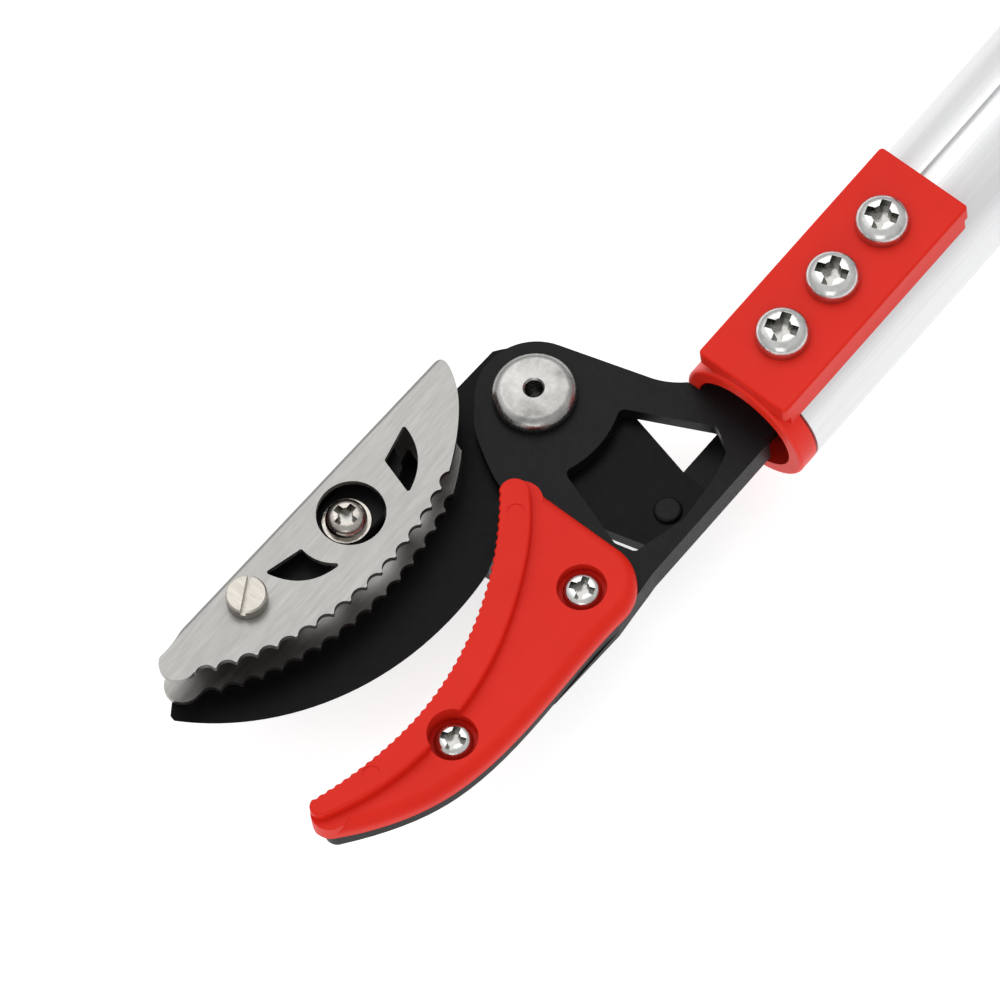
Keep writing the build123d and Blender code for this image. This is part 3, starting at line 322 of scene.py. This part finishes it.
def foam_sleeve(box):
    """A turned sleeve round the pole's axis with rounded ends and soft ribs."""
    x0, x1 = box[0][0], box[1][0]
    radius = min(box[1][1], box[1][2]) - FOAM_SKIN
    profile = [(x0, FOAM_BORE_R), (x0, radius - FOAM_END_R)]
    for i in range(1, END_STEPS):
        a = math.pi / 2 * i / END_STEPS
        profile.append((x0 + FOAM_END_R * (1 - math.cos(a)),
                        radius - FOAM_END_R * (1 - math.sin(a))))
    first_end = list(profile)
    ribs = int((x1 - x0 - 4 * FOAM_END_R) / RIB_PITCH)
    start = (x0 + x1 - ribs * RIB_PITCH) / 2
    for i in range(ribs * RIB_STEPS + 1):
        wave = (1 - math.cos(2 * math.pi * i / RIB_STEPS)) / 2
        profile.append((start + RIB_PITCH * i / RIB_STEPS, radius - RIB_DEPTH * wave ** 2))
    profile += [(x0 + x1 - x, r) for x, r in reversed(first_end)]
    bm = bmesh.new()
    rings = []
    for x, r in profile:
        rings.append([bm.verts.new((x, r * math.cos(t), r * math.sin(t)))
                      for t in (2 * math.pi * k / SIDES for k in range(SIDES))])
    for a, b in zip(rings, rings[1:] + rings[:1]):
        for k in range(SIDES):
            n = (k + 1) % SIDES
            bm.faces.new((a[k], a[n], b[n], b[k]))
    bmesh.ops.recalc_face_normals(bm, faces=bm.faces)
    mesh = bpy.data.meshes.new("foam_sleeve")
    bm.to_mesh(mesh)
    bm.free()
    mesh.polygons.foreach_set("use_smooth", [True] * len(mesh.polygons))
    mesh.materials.append(FOAM)
    turned = bpy.data.objects.new("foam_sleeve", mesh)
    bpy.context.scene.collection.objects.link(turned)
    return turned


sleeve = foam_sleeve(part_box("foam_grip"))
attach(sleeve, "root")
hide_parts("foam_grip")


# ---- floor and surroundings -----------------------------------------------------------------
FLOOR_SIZE = 12
FLOOR_MIDDLE_X = 0.6
FLOOR_GAP = 0.0002
SKY_LOW, SKY_HIGH = (0.62, 0.62, 0.63, 1), (0.95, 0.95, 0.95, 1)
SKY_HIGH_FROM = 0.75          # the height, from 0 at the horizon to 1 overhead, of full brightness
SKY_STRENGTH = 0.88

floor_z = Vector(cad_box[0]).z - FLOOR_GAP
bpy.ops.mesh.primitive_plane_add(size=FLOOR_SIZE, location=(FLOOR_MIDDLE_X, 0, floor_z))
floor = bpy.context.object
floor.name = "floor"
pale = surface("pale_floor", (0.52, 0.52, 0.52), (0.50, 0.50, 0.50), 0.9, scale=3,
               Specular_IOR_Level=0.1, Emission_Color=(1, 1, 1, 1), Emission_Strength=0.72)
floor.data.materials.append(pale)

world = bpy.data.worlds.new("studio")
bpy.context.scene.world = world
world.use_nodes = True
nodes, links = world.node_tree.nodes, world.node_tree.links
direction = nodes.new("ShaderNodeTexCoord")
split = nodes.new("ShaderNodeSeparateXYZ")
fade = nodes.new("ShaderNodeValToRGB")
fade.color_ramp.elements[0].position = 0.0
fade.color_ramp.elements[0].color = SKY_LOW
fade.color_ramp.elements[1].position = SKY_HIGH_FROM
fade.color_ramp.elements[1].color = SKY_HIGH
links.new(direction.outputs["Generated"], split.inputs["Vector"])
links.new(split.outputs["Z"], fade.inputs["Fac"])
links.new(fade.outputs["Color"], nodes["Background"].inputs["Color"])
nodes["Background"].inputs["Strength"].default_value = SKY_STRENGTH


# ---- lights ---------------------------------------------------------------------------------
def softbox(name, place, aim, side, power):
    """A square area light at place, turned to aim."""
    light = bpy.data.lights.new(name, "AREA")
    light.shape = "RECTANGLE"
    light.size = light.size_y = side
    light.energy = power
    lamp = bpy.data.objects.new(name, light)
    bpy.context.scene.collection.objects.link(lamp)
    lamp.location = place
    lamp.rotation_euler = (Vector(aim) - Vector(place)).to_track_quat("-Z", "Y").to_euler()


head = Vector((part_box("inner_tube")[1][0], 0, 0))
softbox("key", head + Vector((-0.1, -1.15, 1.5)), head, 1.6, 3)
softbox("fill", head + Vector((1.5, 0.9, 0.9)), head, 1.0, 4)
softbox("handle_light", (0.2, -0.6, 1.6), (0.3, 0, 0), 1.6, 8)


# ---- camera: above and beyond the head, on the hook's side of the pole ----------------------
CAMERA_RIGHT = (-0.6370, 0.7670, -0.0775)
CAMERA_BACK = (0.2946, 0.3351, 0.8950)
CAMERA_DISTANCE = 2.028
CAMERA_AIM = (0.0408, -0.0237, 0)     # from the end of the inner tube to the picture's centre
LENS_MM, SENSOR_MM = 432, 36
NEAR_CLIP = 0.01

back = Vector(CAMERA_BACK).normalized()
up = back.cross(Vector(CAMERA_RIGHT).normalized()).normalized()
right = up.cross(back).normalized()
lens = bpy.data.cameras.new("camera")
lens.lens = LENS_MM
lens.sensor_width = SENSOR_MM
lens.clip_start = NEAR_CLIP
camera = bpy.data.objects.new("camera", lens)
bpy.context.scene.collection.objects.link(camera)
turn = Matrix((right, up, back)).transposed().to_4x4()
stand = head + Vector(CAMERA_AIM) + back * CAMERA_DISTANCE
camera.matrix_world = Matrix.Translation(stand) @ turn
bpy.context.scene.camera = camera
bpy.context.scene.view_settings.view_transform = "Standard"
